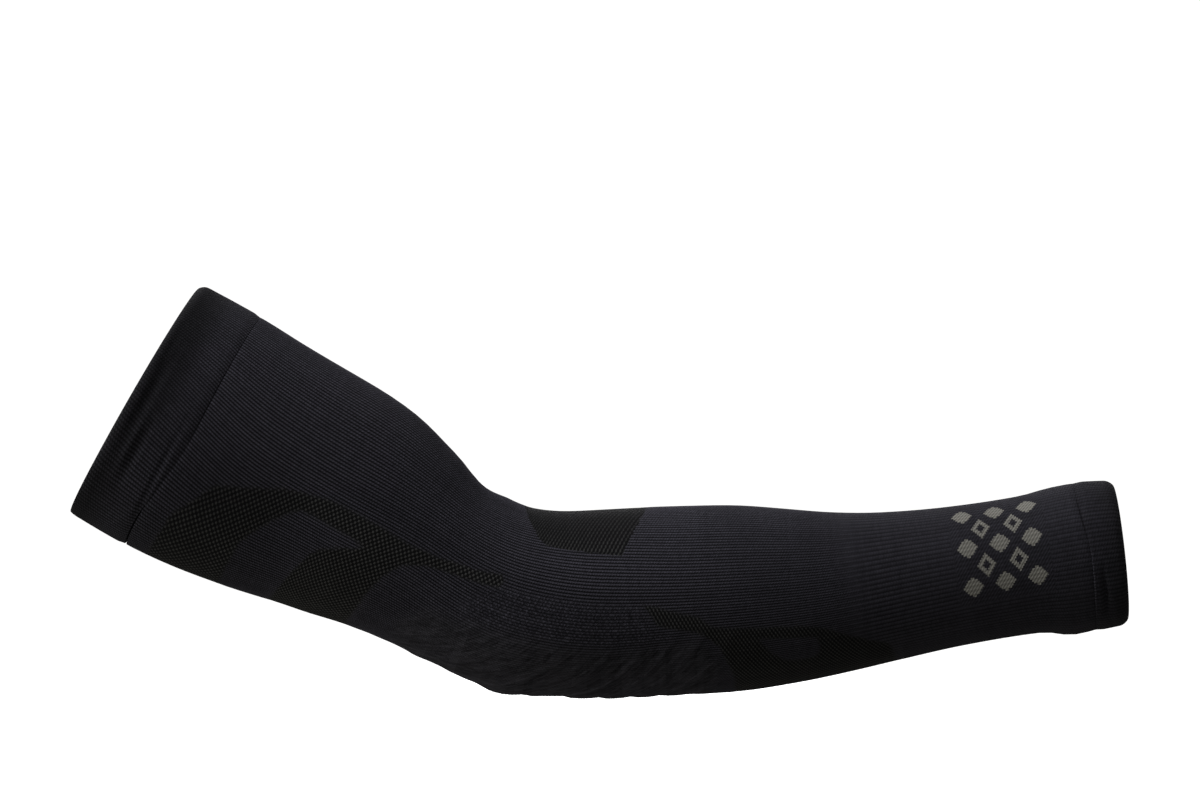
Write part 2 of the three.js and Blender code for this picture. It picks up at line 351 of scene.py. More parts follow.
# Where a ring of the tube passes: it follows the seams at its ends, and on the elbow it leans towards
# the wrist by the sine of the angle, so that each slanting ridge lies along one ring.
def tubePlace(ringDistance, degrees):
    share = ringDistance / armForm["length"]
    ridge = elbowRidges
    start, end = ridge["start"], ridge["end"]
    upperShift = (bandLength("upper", degrees) - seams["upperSide"]) * ramp(start - share, 0, start)
    wristShift = (bandLength("wrist", degrees) - seams["wristSide"]) * ramp(share, end, 1)
    leaning = ramp(share, *ridge["leanRise"]) * (1 - ramp(share, *ridge["leanFade"]))
    lean = armForm["elbow"][0] / 2 / math.tan(math.radians(ridge["slant"])) * leaning
    return ringDistance + upperShift - wristShift + lean * np.abs(np.sin(np.radians(degrees)))


# A ridge's height: half a cosine wave along the rings, which fades towards its zone's edges.
def ridgeHeight(ringDistance, degrees):
    ridge = elbowRidges
    share = ringDistance / armForm["length"]
    lengthwise = bell(share - (ridge["start"] + ridge["end"]) / 2, (ridge["end"] - ridge["start"]) / 2)
    fade = np.sqrt(lengthwise * bell(turnBetween(degrees, 180), ridge["round"]))
    crest = np.maximum(np.cos(2 * np.pi * ringDistance / ridge["pitch"]), 0)
    return ridge["height"] * fade * crest ** ridge["sharpness"]


print("surfaces")


# Puts a mesh, a camera or a light into the scene as an object.
def addObject(name, data):
    made = bpy.data.objects.new(name, data)
    bpy.context.scene.collection.objects.link(made)
    return made


# The layout for textures, in shares of its square: each wall and each end has its own strip.
layoutStrips = {
    "margin": 0.005,
    "outerSpan": 0.8,
    "innerStart": 0.82,
    "innerSpan": 0.12,
    "firstEnd": 0.955,
    "lastEnd": 0.975,
    "endWidth": 0.01,
}


# A closed shell from a fine outer grid and a coarser inner grid, both rings by columns. Each inner
# column stands behind a whole number of outer ones, and fans join the two walls at both ends.
def shellMesh(name, outer, inner, outerThreads, innerThreads, fields):
    rows, columns = outer.shape[:2]
    innerRows, innerColumns = inner.shape[:2]
    ratio = columns // innerColumns

    def quads(first, rowCount, columnCount, flip):
        row, column = np.meshgrid(np.arange(rowCount - 1), np.arange(columnCount), indexing="ij")
        after = (column + 1) % columnCount
        here, there = first + row * columnCount, first + (row + 1) * columnCount
        corners = [here + column, here + after, there + after, there + column]
        return np.stack(corners[::-1] if flip else corners, -1).reshape(-1, 4)

    innerFirst = rows * columns
    quadFaces = np.concatenate([
        quads(0, rows, columns, False), quads(innerFirst, innerRows, innerColumns, True)
    ])
    triangles = []
    for outerRow, innerRow, flip in ((0, 0, False), (rows - 1, innerRows - 1, True)):
        column = np.arange(columns + 1)
        outerEdge = outerRow * columns + column % columns
        innerEdge = innerFirst + innerRow * innerColumns + (column + ratio // 2) // ratio % innerColumns
        outerHere, outerNext = outerEdge[:-1], outerEdge[1:]
        behind, behindNext = innerEdge[:-1], innerEdge[1:]
        fan = np.stack([outerNext, outerHere, behind], -1)
        step = np.stack([outerNext, behind, behindNext], -1)[behind != behindNext]
        both = np.concatenate([fan, step])
        triangles.append(both[:, ::-1] if flip else both)
    triFaces = np.concatenate(triangles)

    points = np.concatenate([outer.reshape(-1, 3), inner.reshape(-1, 3)])
    loops = np.concatenate([quadFaces.ravel(), triFaces.ravel()])
    sizes = np.concatenate([np.full(len(quadFaces), 4), np.full(len(triFaces), 3)])
    mesh = bpy.data.meshes.new(name)
    mesh.vertices.add(len(points))
    mesh.vertices.foreach_set("co", points.ravel())
    mesh.loops.add(len(loops))
    mesh.loops.foreach_set("vertex_index", loops)
    mesh.polygons.add(len(sizes))
    mesh.polygons.foreach_set("loop_start", np.concatenate([[0], np.cumsum(sizes)[:-1]]))
    mesh.polygons.foreach_set("use_smooth", np.ones(len(sizes), bool))

    # the last column's corners take the turn 1, not 0, so that the pattern closes on itself
    threads = np.concatenate([outerThreads.reshape(-1, 2), innerThreads.reshape(-1, 2)])[loops]
    faceOf = np.repeat(np.arange(len(sizes)), sizes)
    high = np.zeros(len(sizes))
    np.maximum.at(high, faceOf, threads[:, 1])
    threads[(high[faceOf] > 0.75) & (threads[:, 1] < 0.25), 1] += 1
    mesh.uv_layers.new(name="threads").data.foreach_set("uv", threads.ravel())

    strips = layoutStrips
    margin = strips["margin"]
    low, span = threads[:, 0].min(), np.ptp(threads[:, 0])
    across = margin + (1 - 2 * margin) * (threads[:, 0] - low) / span
    isInner = loops >= innerFirst
    stripStart = np.where(isInner, strips["innerStart"], margin)
    stripSpan = np.where(isInner, strips["innerSpan"], strips["outerSpan"])
    layout = np.stack([across, stripStart + stripSpan * threads[:, 1]], -1)
    fans = np.arange(len(loops)) >= quadFaces.size
    endStart = np.where(threads[:, 0] > low + span / 2, strips["lastEnd"], strips["firstEnd"])
    layout[fans, 0] = margin + (1 - 2 * margin) * threads[fans, 1]
    layout[fans, 1] = (endStart + strips["endWidth"] * isInner)[fans]
    mesh.uv_layers.new(name="OFBake").data.foreach_set("uv", layout.ravel())
    mesh.uv_layers.active = mesh.uv_layers["OFBake"]

    # the inside lies outside every zone and seam
    nowhere = np.full(inner.size // 3, -1.0)
    for field, values in fields.items():
        attribute = mesh.attributes.new(field, "FLOAT", "POINT")
        attribute.data.foreach_set("value", np.concatenate([values.ravel(), nowhere]))
    mesh.update(calc_edges=True)
    mesh.validate()
    print("  ", name, len(points), "points", int((sizes - 2).sum()), "triangles")
    return addObject(name, mesh)


tube = {
    "wall": 0.0011,
    "openRows": 0.0052,  # between rings on the plain stretches
    "ridgeRows": 6,  # rings to a ridge
    "innerRows": 48,
    "innerColumns": 100,
    "fineEnds": (0.0, 0.0003, 0.0006, 0.0010, 0.0015, 0.0030),  # rings next to a seam
}


# Even places from one distance to another, at most a step apart.
def places(start, end, step):
    return np.linspace(start, end, max(math.ceil((end - start) / step), 1) + 1)


# The long tube: ribs, elbow ridges and a dip at each seam lie on the arm's surface.
def makeTube():
    length = armForm["length"]
    start = seams["upperSide"] + seams["gap"] / 2
    end = length - seams["wristSide"] - seams["gap"] / 2
    pitch = elbowRidges["pitch"]
    ridgeStart = math.ceil(elbowRidges["start"] * length / pitch) * pitch
    ridgeEnd = math.floor(elbowRidges["end"] * length / pitch) * pitch
    ends = np.array(tube["fineEnds"])
    rings = np.concatenate([
        start + ends[:-1],
        places(start + ends[-1], ridgeStart, tube["openRows"]),
        places(ridgeStart, ridgeEnd, pitch / tube["ridgeRows"])[1:],
        places(ridgeEnd, end - ends[-1], tube["openRows"])[1:],
        (end - ends[:-1])[::-1],
    ])

    def grid(rings, columns):
        ring, turn = np.meshgrid(rings, np.arange(columns) / columns, indexing="ij")
        distance = tubePlace(ring, ribDegrees(turn, ring / length))
        share = distance / length
        return ring, turn, share, distance, ribDegrees(turn, share)

    ring, turn, share, distance, degrees = grid(rings, ribs["count"] * ribs["samples"])
    zones = knitZones(share, degrees)
    meshed = ramp(np.maximum(zones["meshZone"], zones["patchZone"]), -ribs["meshEdge"], ribs["meshEdge"])
    ribPart = ribHeight(turn, share) * (1 - (1 - ribs["meshHeight"]) * meshed)
    ridgePart = ridgeHeight(ring, degrees)
    zones["ridgeLift"] = ridgePart / elbowRidges["height"]
    fromUpper, fromWrist = ring - start, end - ring
    # where the painted shade along the seams' grooves lies
    zones["fromSeamShade"] = np.minimum(
        fromSeamShade("upper", fromUpper, degrees), fromSeamShade("wrist", fromWrist, degrees)
    )
    groove = seamGroove(np.minimum(fromUpper, fromWrist), degrees)
    outer = armSurface(distance, degrees, ribPart + ridgePart - groove)
    outerThreads = np.stack([share, turn], -1)

    ring, turn, share, distance, degrees = grid(
        np.linspace(start, end, tube["innerRows"]), tube["innerColumns"]
    )
    inner = armSurface(distance, degrees, -tube["wall"])
    return shellMesh("sleeve_knit", outer, inner, outerThreads, np.stack([share, turn], -1), zones)


bands = {
    "wall": 0.0022,
    "rise": 0.00045,
    "settle": 0.004,  # how far from the seam the band has risen to its doubled thickness
    "lipReach": 0.0038,
    "lipFold": 0.0009,
    "lipCurl": 0.0012,
    "lipOutside": 0.75,
    "lipRows": 8,
    "sharpBack": 0.8,  # how much less the upper lip rounds in at the back
    "sharpFrom": (0.3, 0.95),  # 1 at the very back
    "creaseDepth": 0.0010,
    "rowStep": 0.0006,
    "seamRows": (0.0015, 0.0011, 0.0008, 0.0005, 0.0002, 0.0),  # rings next to the seam
    "innerRows": 12,
    "innerFirstRow": 0.3,  # of the lip's reach
    "ribHeight": {"upper": 0.00018, "wrist": 0.0001},
    "dullRound": (58, 50),  # where the upper band is dullest, degrees from the front and spread
}

# Metres from the free edge, metres that it reaches to each side, degrees round the arm, degrees of
# spread, and depth as a share of the deepest crease's, less than nothing for a raised fold.
creases = {
    "upper": [
        (0.0042, 0.0024, 60, 25, 0.5),
        (0.0066, 0.0036, 83, 35, 0.95),
        (0.0095, 0.0020, 108, 24, -0.45),
        (0.0130, 0.0026, 110, 26, 0.75),
        (0.0245, 0.0020, 118, 42, 0.60),
        (0.0268, 0.0014, 118, 40, -0.12),
        (0.0090, 0.0040, 250, 40, 0.8),
    ],
    "wrist": [
        (0.0098, 0.0021, 120, 32, 1.6),
        (0.0062, 0.0024, 136, 34, -0.35),
        (0.0080, 0.0034, 238, 40, 0.5),
    ],
}


# A doubled band: its free edge rounds in by a circle's arc and curls by a square law, its creases and
# the wrist's bead are bells along the arm times bells round it, and its ribs are cosines that die out
# at the lip. Beside the seam its outer ply ends, and the inner ply goes on under the tube as a flat tuck.
def makeBand(name, side, ribCount, samples):
    length = armForm["length"]
    isUpper = side == "upper"
    way = 1 if isUpper else -1
    sideLength = seams[side + "Side"] - seams["gap"] / 2

    def grid(shares, columnCount):
        share, turn = np.meshgrid(shares, np.arange(columnCount) / columnCount, indexing="ij")
        degrees = ribDegrees(turn, np.full(turn.shape, 0.0 if isUpper else 1.0))
        fromEdge = share * (bandLength(side, degrees) - seams["gap"] / 2)
        distance = fromEdge if isUpper else length - fromEdge
        degrees = ribDegrees(turn, distance / length)
        lip = np.clip(1 - fromEdge / bands["lipReach"], 0, 1)
        return share, turn, degrees, fromEdge, distance, lip

    def rounding(lip):
        return (bands["wall"] - bands["lipFold"]) * (1 - np.sqrt(1 - lip**2))

    lipShare = bands["lipReach"] / sideLength
    lipShares = lipShare * (1 - np.cos(np.linspace(0, np.pi / 2, bands["lipRows"] + 1)[:-1]))
    seamShares = 1 - np.array(bands["seamRows"]) / sideLength
    bodyShares = places(lipShare, seamShares[0], bands["rowStep"] / sideLength)
    tuckEnd = 1 + seams["tuckLength"] / sideLength
    outerShares = np.concatenate([lipShares, bodyShares, seamShares[1:], [1.0, tuckEnd]])
    share, turn, degrees, fromEdge, distance, lip = grid(outerShares, ribCount * samples)
    toSeam = (1 - share) * sideLength
    ribPart = bands["ribHeight"][side] / 2 * np.cos(2 * np.pi * ribCount * turn) * (1 - lip**3)
    soft = 1 - bands["sharpBack"] * isUpper * ramp(-np.cos(np.radians(degrees)), *bands["sharpFrom"])
    proud = bands["rise"] * ramp(toSeam, 0, bands["settle"]) - bands["lipCurl"] * soft * lip**2
    more = proud - bands["lipOutside"] * soft * rounding(lip) - seamGroove(toSeam, degrees) + ribPart
    for place, reach, round0, spread, depth in creases[side]:
        crease = bell(fromEdge - place, reach) * bell(turnBetween(degrees, round0), spread)
        more = more - depth * bands["creaseDepth"] * crease
    bead = bell(toSeam - seamBead["place"], seamBead["reach"]) * bellAside(degrees, *seamBead["round"])
    bead = bead * (not isUpper)
    more = more + seamBead["height"] * bead
    more[-2:] = -seams["tuckDepth"]
    outer = armSurface(distance, degrees, more)
    unrolled = distance.copy()
    unrolled[-2:] += way * seams["tuckDepth"]
    outerThreads = np.stack([unrolled / length, turn], -1)
    fields = {
        "fromSeam": toSeam,
        "fromSeamShade": fromSeamShade(side, toSeam, degrees),
        "bead": bead,
        "duller": bellAside(degrees, *bands["dullRound"]) * isUpper,
    }

    innerBody = np.linspace(lipShare * bands["innerFirstRow"], 1, bands["innerRows"])
    innerShares = np.concatenate([[0], innerBody, [tuckEnd]])
    share, turn, degrees, fromEdge, distance, lip = grid(innerShares, ribCount)
    proud = bands["rise"] - bands["lipCurl"] * lip**2
    inner = armSurface(distance, degrees, proud - bands["wall"] + (1 - bands["lipOutside"]) * rounding(lip))
    innerThreads = np.stack([distance / length, turn], -1)
    walls = (wall[::way] for wall in (outer, inner, outerThreads, innerThreads))
    return shellMesh(name, *walls, {title: field[::way] for title, field in fields.items()})


sleeveKnit = makeTube()
upperWelt = makeBand("upper_welt", "upper", ribs["count"], ribs["samples"])
wristWelt = makeBand("wrist_welt", "wrist", ribs["count"] // 2, ribs["samples"] * 2)

tubeNodes = ("upper_arm_knit", "above_elbow_knit", "elbow_knit", "forearm_knit")
for piece, nodes, slot in (
    (sleeveKnit, tubeNodes, "ribbed_knit"),
    (upperWelt, ("upper_band",), "band_knit"),
    (wristWelt, ("wrist_band",), "band_knit"),
):
    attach(piece, "root")
    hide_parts(*nodes)

print("knit finishes")


# Links a socket to another or gives it a plain value. None leaves it alone.
def feed(socket, value):
    if isinstance(value, bpy.types.NodeSocket):
        socket.id_data.links.new(value, socket)
    elif value is not None:
        socket.default_value = value


# Adds a node to a tree and feeds its inputs in order.
def addNode(tree, kind, *inputs, **settings):
    node = tree.nodes.new("ShaderNode" + kind)
    for name, value in settings.items():
        setattr(node, name, value)
    for socket, value in zip(node.inputs, inputs):
        feed(socket, value)
    return node


# The tree in which the first socket of some inputs lies.
def treeOf(*inputs):
    return next(value.id_data for value in inputs if isinstance(value, bpy.types.NodeSocket))


# One step of arithmetic.
def calc(operation, *inputs):
    return addNode(treeOf(*inputs), "Math", *inputs, operation=operation).outputs[0]


# Two numbers multiplied.
def times(one, other):
    return calc("MULTIPLY", one, other)


# Two numbers multiplied, and a third added.
def timesPlus(one, other, more):
    return calc("MULTIPLY_ADD", one, other, more)


# A number made larger by a share where a mask is full, or smaller where the share is negative.
def scaledBy(value, mask, share):
    return times(value, timesPlus(mask, share, 1.0))


# A level-ended ramp from 0 at low to 1 at high. low may be the larger of the two.
def rampNode(value, low, high):
    settings = {"interpolation_type": "SMOOTHSTEP"}
    return addNode(treeOf(value), "MapRange", value, low, high, 0.0, 1.0, **settings).outputs[0]


# From one number to another by a share.
def blend(share, one, other):
    return addNode(treeOf(share, one, other), "Mix", share, None, one, other, data_type="FLOAT").outputs[0]


# From one colour to another by a share.
def blendColour(share, one, other):
    node = addNode(treeOf(share), "Mix", share, data_type="RGBA")
    for socket, colour in zip(node.inputs[6:8], (one, other)):
        feed(socket, (*colour, 1) if isinstance(colour, tuple) else colour)
    return node.outputs[2]


# A cosine wave, 1 where its count of turns is whole and 0 halfway between.
def wave(turns):
    return timesPlus(calc("COSINE", times(turns, 2 * math.pi)), 0.5, 0.5)


# An empty node group. Its sockets hold numbers, apart from those whose names give another kind.
def newGroup(name, inputs, outputs):
    tree = bpy.data.node_groups.new(name, "ShaderNodeTree")
    for way, entries in (("INPUT", inputs), ("OUTPUT", outputs)):
        for title, _, kind in (entry.partition(":") for entry in entries.split()):
            tree.interface.new_socket(title, in_out=way, socket_type="NodeSocket" + (kind or "Float"))
    return tree, tree.nodes.new("NodeGroupInput").outputs, tree.nodes.new("NodeGroupOutput").inputs


# Places a node group and feeds its inputs by name.
def useGroup(tree, group, **values):
    node = tree.nodes.new("ShaderNodeGroup")
    node.node_tree = group
    for title, value in values.items():
        feed(node.inputs[title], value)
    return node.outputs


# How much of a stitch's shade comes from its rib, its course and itself.
stitchTones = {"rib": 0.35, "course": 0.2, "stitch": 0.45}


# Stitches in ribs. Rib and course number the stitches round and along the arm. Crest is a cosine
# across each rib. Loop is a cosine along it, bent to a V by the distance from the rib's middle. Shade
# differs from rib to rib, from course to course and from stitch to stitch.
def makeStitches():
    tree, given, made = newGroup(
        "stitches", "Threads:Vector Ribs Stitch Vee", "Rib Course Crest Loop Shade"
    )
    place = addNode(tree, "SeparateXYZ", given["Threads"]).outputs
    rib = times(place[1], given["Ribs"])
    course = calc("DIVIDE", times(place[0], armForm["length"]), given["Stitch"])
    ribNumber = calc("ROUND", rib)
    offset = calc("ABSOLUTE", calc("SUBTRACT", rib, ribNumber))
    looped = calc("ADD", timesPlus(offset, given["Vee"], course), times(ribNumber, 0.5))
    number = addNode(tree, "CombineXYZ", ribNumber, calc("FLOOR", looped)).outputs[0]

    def randomTone(dimensions, *inputs):
        return addNode(tree, "TexWhiteNoise", *inputs, noise_dimensions=dimensions).outputs[0]

    courseTone = times(randomTone("1D", None, calc("FLOOR", course)), stitchTones["course"])
    tone = timesPlus(randomTone("1D", None, ribNumber), stitchTones["rib"], courseTone)
    feed(made["Rib"], rib)
    feed(made["Course"], course)
    feed(made["Crest"], wave(rib))
    feed(made["Loop"], wave(looped))
    feed(made["Shade"], timesPlus(randomTone("2D", number), stitchTones["stitch"], tone))
    return tree


knotEdges = (0.38, 0.92)  # where a knot starts and is full, between a hole's middle and a knot's


# An openwork net: light knots on holes that are dark with painted shade of the sleeve's inside. Two
# waves run slantwise over the ribs, one to each side, and Lean weakens the second, so that the net turns into
# slanting lines.
def makeNet():
    tree, given, made = newGroup("openwork net", "Rib Along Cell Slant Lean", "Knot")
    cell = calc("DIVIDE", given["Along"], given["Cell"])
    across = times(given["Rib"], given["Slant"])
    kept = calc("SUBTRACT", 1.0, given["Lean"])
    total = timesPlus(wave(calc("SUBTRACT", cell, across)), kept, wave(calc("ADD", cell, across)))
    feed(made["Knot"], rampNode(calc("DIVIDE", total, calc("ADD", kept, 1.0)), *knotEdges))
    return tree


yarnTones = {
    "patches": (34.0, 3.0, 0.6),  # scale, detail and roughness of the noise
    "shades": (0.5, 0.75),  # how much a stitch's shade changes it, and what is there without
    "lint": (900.0, 1.0, 0.5),  # the noise, likewise
    "lintFrom": (0.84, 0.87),
    "lintColour": (0.12, 0.12, 0.12),
}


# The yarn's colour: from the groove's to the crest's by Light, patchy by a soft noise, with a rare pale
# speck of lint. The groove's colour is the yarn's own, darkened further by painted shade in the grooves.
def makeYarn():
    tree, given, made = newGroup(
        "yarn",
        "Light Shade Neutral Deep:Color Crest:Color Plain:Color Patchy Lint",
        "Color:Color Patch",
    )
    place = addNode(tree, "TexCoord").outputs["Object"]
    patch = addNode(tree, "TexNoise", place, None, *yarnTones["patches"]).outputs["Fac"]
    speck = addNode(tree, "TexNoise", place, None, *yarnTones["lint"]).outputs["Fac"]
    crest = blendColour(given["Neutral"], given["Crest"], given["Plain"])
    colour = blendColour(given["Light"], given["Deep"], crest)
    tone = timesPlus(calc("SUBTRACT", patch, 0.5), given["Patchy"], 1.0)
    toned = addNode(tree, "VectorMath", colour, operation="SCALE")
    feed(toned.inputs["Scale"], times(tone, timesPlus(given["Shade"], *yarnTones["shades"])))
    lint = times(rampNode(speck, *yarnTones["lintFrom"]), given["Lint"])
    feed(made["Color"], blendColour(lint, toned.outputs[0], yarnTones["lintColour"]))
    feed(made["Patch"], patch)
    return tree


stitches, net, yarn = makeStitches(), makeNet(), makeYarn()

knitFinish = {
    "stitch": 0.00115,  # metres, the length of a stitch
    "vee": 0.9,
    # the grooves' colour: the dark yarn, darkened further by painted shade in the grooves
    "deep": (0.0032, 0.0031, 0.0036),
    "crest": (0.0445, 0.0430, 0.0545),
    "plain": (0.044, 0.044, 0.043),
    "loopShare": 0.34,
    "patchy": 0.5,
    "lint": 0.5,
    "roughness": (0.82, 0.95),
    "allOver": {"Specular IOR Level": 0.06, "Sheen Weight": 0.008, "Sheen Roughness": 0.45},
    "bump": 0.00012,
    "netBump": 0.0002,
    "seamShadeReach": 0.0006,  # of the painted shade along a seam's groove, to each side
    "lightInSeamShade": 0.4,  # what is left of the light on it
}


# A material whose Principled shader takes the values that are the same all over a piece.
def plainMaterial(name, allOver):
    material = bpy.data.materials.new(name)
    material.use_nodes = True
    tree = material.node_tree
    shader = tree.nodes["Principled BSDF"]
    for title, value in allOver.items():
        shader.inputs[title].default_value = value
    return material, tree, shader


# A cloth's material, and the places along and round the arm that its patterns follow.
def clothMaterial(name):
    material, tree, shader = plainMaterial(name, knitFinish["allOver"])
    return material, tree, shader, addNode(tree, "UVMap", uv_map="threads").outputs[0]


# A number that the mesh holds at each of its points.
def meshField(tree, name):
    return addNode(tree, "Attribute", attribute_name=name).outputs["Fac"]


# The cloth's own stitches, with so many ribs round the arm.
def knitRibs(tree, threads, count):
    finish = knitFinish
    return useGroup(
        tree, stitches, Threads=threads, Ribs=count, Stitch=finish["stitch"], Vee=finish["vee"]
    )


# The light along a rib, beaded by its loops.
def ribLight(crest, loop):
    return times(crest, timesPlus(loop, knitFinish["loopShare"], 1 - knitFinish["loopShare"]))


# The last steps that both cloths share: painted shade along each seam's groove, colour, roughness and a
# bump whose height is in metres.
def finishCloth(tree, shader, light, shade, neutral, height, colourOver=None):
    finish = knitFinish
    # painted shade along the seams' grooves
    offSeamShade = rampNode(calc("ABSOLUTE", meshField(tree, "fromSeamShade")), 0.0, finish["seamShadeReach"])
    toned = useGroup(
        tree, yarn, Light=times(light, blend(offSeamShade, finish["lightInSeamShade"], 1.0)), Shade=shade,
        Neutral=neutral, Deep=(*finish["deep"], 1), Crest=(*finish["crest"], 1),
        Plain=(*finish["plain"], 1), Patchy=finish["patchy"], Lint=finish["lint"],
    )
    colour = toned["Color"] if colourOver is None else colourOver(toned["Color"])
    feed(shader.inputs["Base Color"], colour)
    feed(shader.inputs["Roughness"], blend(toned["Patch"], *finish["roughness"]))
    bump = addNode(tree, "Bump")
    bump.inputs["Distance"].default_value = 1.0
    feed(bump.inputs["Height"], height)
    feed(shader.inputs["Normal"], bump.outputs[0])


# What changes along and round the tube. Places along it are shares of the length, and places round it
# go from 1 at the front to 0 at the back.
tubeLooks = {
    "closedLight": 0.33,  # of ribs that have closed up
    "ragged": 0.0013,  # metres, how far a zone's edge strays with the stitches
    # metres inside a zone where it starts and where it is full
    "edges": {"meshZone": (-0.0003, 0.0018), "patchZone": (-0.0003, 0.0003), "fineZone": (-0.0003, 0.004)},
    # where the back is paler from the upper arm to the elbow, and the front over the elbow: ramps up and down
    # along the arm, a ramp round it, and how much paler
    "paler": [
        ((0.13, 0.27), (0.41, 0.50), (0.60, 0.40), 0.4),
        ((0.30, 0.42), (0.56, 0.63), (0.60, 0.78), 0.22),
    ],
    "fineNoise": (420.0, 1.0, 0.5),  # scale, detail and roughness of what makes the fine net uneven
    "fineJitter": 0.004,  # metres
    "fineShare": 0.4,  # what is left of the ribs in it
    "fineShades": (1.7, -0.35),
}

# The nets: a cell's length along the arm in metres, its turns to a rib, how far the second wave is
# weakened, and the light of the holes, which is painted shade, and of the knots.
nets = {
    "upper": (0.00205, 0.5, 0.0, 0.03, 0.84),
    "forearm": (0.00153, -0.41, 0.4, 0.03, 0.68),
    "inner elbow": (0.00174, 0.374, 0.52, 0.02, 0.68),
    "fine": (0.0019, 0.5, 0.0, 0.22, 0.94),
}

netLooks = {
    "forearmFrom": 0.46,
    "upperTones": (0.60, 1.22),  # of the upper mesh, from its upper end to its lower end
    "upperEnds": (0.08, 0.28),
    "underRound": (0.34, 0.10),
    "underLight": 0.45,  # how much lighter it is underneath
    "forearmTones": (1.18, 0.93),
    "forearmEnds": (0.57, 0.74),
    "besideReach": (-0.016, -0.002),  # metres inside the mesh, so outside it
    "besideEnds": (0.19, 0.11),
    "besideLess": 0.20,  # how much darker the ribs are beside its upper end
    "veryFrontRound": (0.82, 0.98),
    "veryFrontLess": 0.6,  # how much darker the inner patch is at the very front
}

# The cloth over the elbow's point: flat and mottled, with fine slanting ridges and streaks, and a painted
# highlight on the large ridges' crests.
elbowCloth = {
    "edge": 0.004,  # metres, to each side
    "ridgeTurns": 1 / 3,  # of the fine ridges, to a rib
    "ridgeLength": 0.0079,
    "ridgeLight": 0.08,
    "plainLight": 0.31,
    "ribLight": 0.3,
    "ridgeCrestHighlight": 0.45,  # painted highlight on the large ridges' crests
    "streaks": 200,  # round the arm
    "streakLength": 0.0026,
    "streakSlant": 2.2,  # turns round the arm over its whole length
    "streakShade": 2.3,
    "shadeLess": 1.15,
    "neutral": 0.25,
    "bumpLeft": 0.5,  # of the loops' bump
}

# The grey field near the wrist, counted in stitches: staggered lozenges of two sizes.
greyField = {
    "ribs": 200,
    "stitch": 0.0007,
    "firstRib": 8,
    "firstShare": 0.836,
    "ribPeriod": 18,
    "coursePeriod": 19,
    "across": 3,
    "along": 3,
    "size": 0.60,
    "hollow": 0.42,  # of the size, where the small ones are open
    "inset": 0.4,  # periods between the field's edge and the first small one
    "colour": (0.205, 0.200, 0.178),
    "deep": (0.105, 0.102, 0.092),
    "between": (0.24, 0.48),  # light of the hatch between the lozenges
}


# The grey field: whether a stitch lies in it, whether it lies on a lozenge, and a slanting hatch. The
# distances from a large lozenge's middle, both ways added, grow from 0 there to 2 at a small one's.
def makeGreyField(tree, threads):
    field = greyField
    grid = useGroup(tree, stitches, Threads=threads, Ribs=field["ribs"], Stitch=field["stitch"], Vee=0.0)
    firstCourse = round(field["firstShare"] * armForm["length"] / field["stitch"])
    ribNumber = calc("SUBTRACT", calc("ROUND", grid["Rib"]), field["firstRib"])
    courseNumber = calc("SUBTRACT", calc("FLOOR", grid["Course"]), firstCourse)
    ribPlace = calc("DIVIDE", ribNumber, field["ribPeriod"])
    coursePlace = calc("DIVIDE", courseNumber, field["coursePeriod"])

    def fromMiddle(value):
        return times(calc("ABSOLUTE", calc("SUBTRACT", calc("FRACT", value), 0.5)), 2.0)

    def within(value, low, high):
        return times(calc("GREATER_THAN", value, low), calc("LESS_THAN", value, high))

    def inBlock(inset):
        roundArm = within(ribPlace, inset, field["across"] - inset)
        return times(roundArm, within(coursePlace, inset, field["along"] - inset))

    both = calc("ADD", fromMiddle(ribPlace), fromMiddle(coursePlace))
    inField = inBlock(0)
    large = times(inField, calc("LESS_THAN", both, field["size"]))
    small = times(inBlock(field["inset"]), calc("GREATER_THAN", both, 2 - field["size"]))
    small = times(small, calc("LESS_THAN", both, 2 - field["size"] * field["hollow"]))
    twill = wave(timesPlus(grid["Rib"], 0.5, times(grid["Course"], 0.5)))
    return inField, calc("MAXIMUM", large, small), twill


